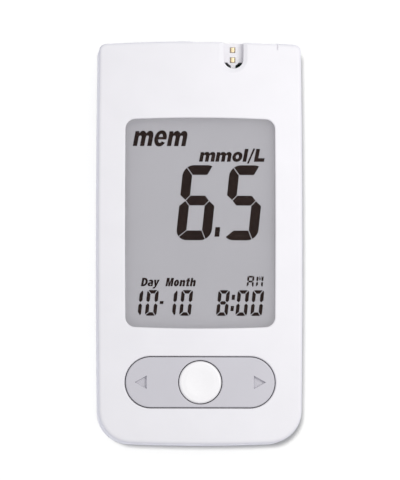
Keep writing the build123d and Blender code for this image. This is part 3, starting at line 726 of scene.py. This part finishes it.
class METER_OT_housing(Operator):
    """Finish the moulded shells and screws, and lay the blank label in its recess"""

    bl_idname = "meter.housing"
    bl_label = "Housing"

    def execute(self, context):
        look = context.scene.meter_housing
        white = moulded_plastic(
            "white_housing_plastic", look.white, roughness=0.42,
            grain=look.grain_size, depth=look.grain_depth)
        finish_nodes(white, "front_cover", "rear_cover", "battery_door")
        steel = metal("screw_steel_plated", (0.62, 0.62, 0.64), roughness=0.3)
        finish_nodes(steel, "case_screws", "board_screws")
        self.build_label(label_film("blank_label_film", look.label))
        return {"FINISHED"}

    def build_label(self, film):
        """Blank label with round corners."""
        shape = bmesh.new()
        corners = flat_rectangle(shape, *LABEL_SIZE, LABEL_MIDDLE)
        bmesh.ops.bevel(
            shape, geom=corners, offset=LABEL_CORNER * MM, segments=LABEL_CORNER_STEPS, profile=0.5,
            affect="VERTICES", material=-1)
        raise_faces(shape, LABEL_THICKNESS * MM)
        new_piece("back_label", shape, film, "housing")


# Snap domes with the joint of the key above each
DOMES = {"left": "arrow_rocker_tilt", "middle": "main_button_press", "right": "arrow_rocker_tilt"}


class METER_OT_keys(Operator):
    """Finish the arrow rocker, the main button and what they press on"""

    bl_idname = "meter.keys"
    bl_label = "Keys"

    def execute(self, context):
        look = context.scene.meter_keys
        grey = moulded_plastic(
            "grey_key_plastic", look.rocker, roughness=0.45, grain=0.2 * MM, depth=0.003 * MM)
        finish_nodes(grey, "arrow_rocker")
        white = moulded_plastic(
            "white_key_plastic", look.button, roughness=0.38, grain=0.2 * MM, depth=0.002 * MM)
        finish_nodes(white, "main_button")
        inner = moulded_plastic(
            "inner_plastic", (0.42, 0.42, 0.41), roughness=0.55, grain=0.3 * MM, depth=0.006 * MM)
        finish_nodes(inner, "key_frame", "lcd_holder")
        steel = metal("sprung_steel", (0.58, 0.57, 0.55), roughness=0.22, brushed=(0.1, 1, 1))
        for side, joint in DOMES.items():
            self.build_dome(f"snap_dome_{side}", joint, steel)
        return {"FINISHED"}

    def build_dome(self, node, joint, steel):
        """Snap dome copied from its CAD node with its doubled points merged, riding on the housing."""
        shape = bmesh.new()
        shape.from_mesh(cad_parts[node].data)
        bmesh.ops.remove_doubles(shape, verts=shape.verts, dist=0.001 * MM)
        dome = new_piece(f"springy_{node}", shape, steel, "housing")
        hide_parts(node)
        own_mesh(dome)


class METER_OT_strip_port(Operator):
    """Finish the strip guide, its contacts and the connector behind it"""

    bl_idname = "meter.strip_port"
    bl_label = "Strip port"

    def execute(self, context):
        look = context.scene.meter_housing
        white = moulded_plastic(
            "white_port_plastic", look.white, roughness=0.35, grain=0.2 * MM, depth=0.002 * MM)
        finish_nodes(white, "strip_guide")
        gold = metal("gold_plating", (0.68, 0.55, 0.36), roughness=0.42)
        finish_nodes(gold, "port_contact_outer", "port_contact_inner", "strip_contact_springs")
        dark = moulded_plastic(
            "dark_connector_plastic", (0.05, 0.05, 0.055), roughness=0.5, grain=0.2 * MM, depth=0.004 * MM)
        finish_nodes(dark, "strip_connector")
        finish_nodes(striped_rubber("striped_connector_rubber"), "connector_strip")
        return {"FINISHED"}


# Plus sign stamped on the coin cells, in millimetres
PLUS_BAR = 1.1
PLUS_DROP = 6.2
PLUS_HEIGHT = 0.03


class METER_OT_power(Operator):
    """Finish the coin cells and their contacts"""

    bl_idname = "meter.power"
    bl_label = "Power"

    def execute(self, context):
        can = metal("cell_can_steel", (0.68, 0.67, 0.65), roughness=0.28)
        stamp = metal("stamped_steel", (0.34, 0.335, 0.325), roughness=0.45)
        nickel = metal("nickel_strip", (0.66, 0.64, 0.60), roughness=0.24, brushed=(1, 0.08, 1))
        for side in ("left", "right"):
            finish_nodes(can, f"coin_cell_{side}")
            finish_nodes(nickel, f"negative_contact_{side}", f"positive_contact_{side}")
            self.build_plus(side, stamp)
        return {"FINISHED"}

    def build_plus(self, side, stamp):
        """Plus sign on the can of a coin cell."""
        low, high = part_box(f"coin_cell_{side}")
        middle = Vector(((low.x + high.x) / 2, (low.y + high.y) / 2 - PLUS_DROP * MM, low.z))
        shape = bmesh.new()
        bmesh.ops.create_grid(shape, x_segments=3, y_segments=3, size=1.5 * PLUS_BAR * MM)
        half_bar = PLUS_BAR * MM / 2
        corners = [face for face in shape.faces if min(map(abs, face.calc_center_median().xy)) > half_bar]
        bmesh.ops.delete(shape, geom=corners, context="FACES")
        bmesh.ops.translate(shape, verts=shape.verts, vec=middle)
        raise_faces(shape, -PLUS_HEIGHT * MM)
        new_piece(f"cell_plus_{side}", shape, stamp, "housing")


class METER_OT_electronics(Operator):
    """Finish the circuit board and the parts on it"""

    bl_idname = "meter.electronics"
    bl_label = "Electronics"

    def execute(self, context):
        finish_nodes(circuit_board("green_circuit_board"), "main_board")
        black = moulded_chip("black_chip_moulding")
        finish_nodes(black, "microcontroller", "measuring_chip", "memory_chip", "piezo_buzzer")
        finish_nodes(metal("crystal_can_steel", (0.6, 0.6, 0.58), roughness=0.25), "clock_crystal")
        finish_nodes(ceramic("tan_ceramic", (0.45, 0.30, 0.17)), "capacitors")
        finish_nodes(ceramic("dark_ceramic", (0.03, 0.03, 0.035)), "resistors")
        return {"FINISHED"}


# ---------------------------------------------------------------- studio

# Point of the front face that the camera and the lamps aim at, in millimetres
AIM = (-0.07, 0.56)

# Camera: width of its sensor in millimetres, and the nearest and furthest that it sees in metres
SENSOR_WIDTH = 36.0
CLIP_RANGE = (0.01, 10.0)

# Sky: colour of its light, and the dark card in it, by its angle from straight up in degrees
SKY_COLOUR = (0.97, 0.98, 1.0)
CARD_CORE = 8.5
CARD_EDGE = 12.5
CARD_SHADE = 0.03

# Floor, in millimetres: its colour to the camera and as a source of bounced light
FLOOR_SIZE = 3000
FLOOR_GAP = 0.05
FLOOR_COLOUR = (0.68, 0.678, 0.66)
FLOOR_BOUNCE = (0.34, 0.355, 0.455)

# Soft lamp at the right, in millimetres, and how many times further away it is for the display
KEY_PLACE = (100, 45, 230)
KEY_SIZE = 140
KEY_COLOUR = (1.0, 0.99, 0.965)
DISPLAY_LAMP_AWAY = 3
DISPLAY_PIECES = ("lcd_front_polariser", "window_gasket", "display_")

# Steep lamp of the floor, in millimetres, with its strength and its spread in degrees
FLOOR_LAMP_PLACE = (-52, 20, 600)
FLOOR_LAMP_STRENGTH = 2.8
FLOOR_LAMP_SPREAD = 4.5


class METER_OT_stage(Operator):
    """Lay the pale floor and set the camera, the sky and the lamps"""

    bl_idname = "meter.stage"
    bl_label = "Studio"

    def execute(self, context):
        look = context.scene.meter_studio
        context.scene.view_settings.view_transform = "Standard"
        self.aim = Vector((AIM[0] * MM, AIM[1] * MM, FRONT_TOP))
        self.build_camera(context.scene, look)
        self.build_sky(context.scene, look.sky)
        self.build_floor()
        self.build_lamps(look.key)
        return {"FINISHED"}

    def build_camera(self, scene, look):
        """Long lens that looks down at the display from slightly left and below."""
        lens = bpy.data.cameras.new("studio_camera")
        lens.sensor_width = SENSOR_WIDTH
        lens.lens = SENSOR_WIDTH * look.distance / look.view_height
        lens.clip_start, lens.clip_end = CLIP_RANGE
        camera = bpy.data.objects.new("studio_camera", lens)
        side, down = math.tan(look.from_left), math.tan(look.from_below)
        direction = Vector((-side, -down, 1.0)).normalized()
        camera.location = self.aim + direction * look.distance
        across = Vector((0, 1, 0)).cross(direction).normalized()
        turn = Matrix((across, direction.cross(across), direction)).transposed()
        camera.rotation_mode = "QUATERNION"
        camera.rotation_quaternion = turn.to_quaternion()
        scene.collection.objects.link(camera)
        scene.camera = camera

    def build_sky(self, scene, strength):
        """Even light; what the camera sees is white, with a dark card overhead round the camera's place."""
        scene.world = bpy.data.worlds.new("studio_sky")
        sky = NodeSheet(scene.world, "ShaderNodeOutputWorld")
        direction = sky.add("ShaderNodeTexCoord").outputs["Generated"]
        height = sky.add("ShaderNodeSeparateXYZ", {"Vector": direction}).outputs["Z"]
        edge, core = (math.cos(math.radians(side)) for side in (CARD_EDGE, CARD_CORE))
        card = sky.map_range(height, (edge, core), (1.0, CARD_SHADE))
        seen = sky.add("ShaderNodeBackground", {"Color": (1, 1, 1, 1), "Strength": card})
        lit = sky.add("ShaderNodeBackground", {"Color": (*SKY_COLOUR, 1), "Strength": strength})
        sky.split_rays(SEEN_RAYS, seen, lit)

    def build_floor(self):
        """Wide pale floor, brighter to the camera and in mirrors than as a source of bounced light."""
        shape = bmesh.new()
        flat_rectangle(shape, FLOOR_SIZE, FLOOR_SIZE, (0, 0, -FLOOR_GAP))
        finish = Finish("pale_floor", FLOOR_COLOUR, roughness=0.9)
        inputs = {"Factor": finish.any_ray(SEEN_RAYS), "A": (*FLOOR_BOUNCE, 1), "B": (*FLOOR_COLOUR, 1)}
        finish.set("Base Color", finish.add("ShaderNodeMix", inputs, data_type="RGBA").outputs["Result"])
        finish.set("Specular IOR Level", 0.0)
        self.floor = new_object("studio_floor", shape, finish.material)
        self.floor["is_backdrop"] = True

    def build_lamps(self, power):
        """Soft key lamp on the meter alone, and a steep lamp on the floor alone for the short shadow."""
        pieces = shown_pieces()
        shown = [piece for piece in pieces if piece.name.startswith(DISPLAY_PIECES)]
        rest = [piece for piece in pieces if piece not in shown]
        shading = [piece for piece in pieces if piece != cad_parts["front_cover"]]
        self.add_soft_lamp("key_lamp", power, 1, rest, rest + [self.floor])
        self.add_soft_lamp("display_lamp", power, DISPLAY_LAMP_AWAY, shown, shading)
        sun = self.add_lamp("floor_lamp", "SUN", FLOOR_LAMP_PLACE, FLOOR_LAMP_STRENGTH)
        sun.data.angle = math.radians(FLOOR_LAMP_SPREAD)
        sun.light_linking.receiver_collection = self.group("lit_by_floor_lamp", [self.floor])

    def add_soft_lamp(self, name, power, away, lit, shading):
        """Round lamp, so many times further away, that lights some pieces and is shaded by others."""
        lamp = self.add_lamp(name, "AREA", Vector(KEY_PLACE) * away, power * away ** 2)
        lamp.data.shape = "DISK"
        lamp.data.size = KEY_SIZE * away * MM
        lamp.data.color = KEY_COLOUR
        lamp.light_linking.receiver_collection = self.group(f"lit_by_{name}", lit)
        lamp.light_linking.blocker_collection = self.group(f"shading_{name}", shading)

    def add_lamp(self, name, kind, place, strength):
        """Lamp that points at the camera's aim."""
        data = bpy.data.lights.new(name, kind)
        data.energy = strength
        lamp = bpy.data.objects.new(name, data)
        lamp.location = Vector(place) * MM
        lamp.rotation_mode = "QUATERNION"
        lamp.rotation_quaternion = (lamp.location - self.aim).to_track_quat("Z", "Y")
        bpy.context.scene.collection.objects.link(lamp)
        return lamp

    def group(self, name, members):
        """Collection of pieces for a lamp, outside the scene's own collections."""
        collection = bpy.data.collections.new(name)
        for member in members:
            collection.objects.link(member)
        return collection


# ---------------------------------------------------------------- add-on

SETTINGS = {
    "meter_housing": HousingSettings,
    "meter_keys": KeySettings,
    "meter_display": DisplaySettings,
    "meter_studio": StudioSettings,
}
STEPS = (
    METER_OT_housing,
    METER_OT_keys,
    METER_OT_display,
    METER_OT_strip_port,
    METER_OT_power,
    METER_OT_electronics,
    METER_OT_stage,
)


class METER_PT_panel(Panel):
    """Lists the settings and builds each part of the meter's finish from the sidebar"""

    bl_idname = "METER_PT_panel"
    bl_label = "Blood Glucose Meter"
    bl_space_type = "VIEW_3D"
    bl_region_type = "UI"
    bl_category = "Meter"

    def draw(self, context):
        for group in SETTINGS:
            settings = getattr(context.scene, group)
            for name in settings.__annotations__:
                self.layout.prop(settings, name)
        for operator in STEPS:
            self.layout.operator(operator.bl_idname)


CLASSES = (*SETTINGS.values(), *STEPS, METER_PT_panel)


def register():
    """Add the settings, the operators and the panel."""
    for cls in CLASSES:
        bpy.utils.register_class(cls)
    for group, cls in SETTINGS.items():
        setattr(bpy.types.Scene, group, PointerProperty(type=cls))


def unregister():
    """Take them away again."""
    for group in SETTINGS:
        delattr(bpy.types.Scene, group)
    for cls in reversed(CLASSES):
        bpy.utils.unregister_class(cls)


def main():
    """Build everything."""
    register()
    for operator in STEPS:
        group, name = operator.bl_idname.split(".")
        getattr(getattr(bpy.ops, group), name)()
    bpy.context.view_layer.update()


if __name__ == "__main__":
    main()
